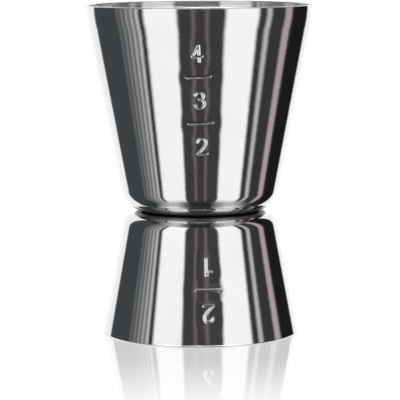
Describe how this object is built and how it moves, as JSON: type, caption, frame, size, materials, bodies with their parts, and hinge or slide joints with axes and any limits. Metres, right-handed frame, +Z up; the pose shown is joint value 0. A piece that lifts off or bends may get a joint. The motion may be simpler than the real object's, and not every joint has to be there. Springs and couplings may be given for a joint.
{
  "type": "bar jigger",
  "caption": "Double-ended spirit measure: a large and a small tapered steel cup joined base to base, with stamped volume marks.",
  "frame": {"origin": "centre of the small cup's rim, on the surface that the jigger stands on", "axes": "+Z up along the common axis of both cups, towards the large cup's rim; the stamped marks face -Y"},
  "size_m": [0.0444, 0.0444, 0.064],
  "materials": {
    "cup_steel": "mirror-polished stainless steel with faint spin-polishing lines",
    "weld_steel": "dull fused steel, hidden between the bases"
  },
  "bodies": {
    "root": {"large_cup": "cup_steel", "small_cup": "cup_steel", "spot_welds": "weld_steel"}
  },
  "joints": []
}
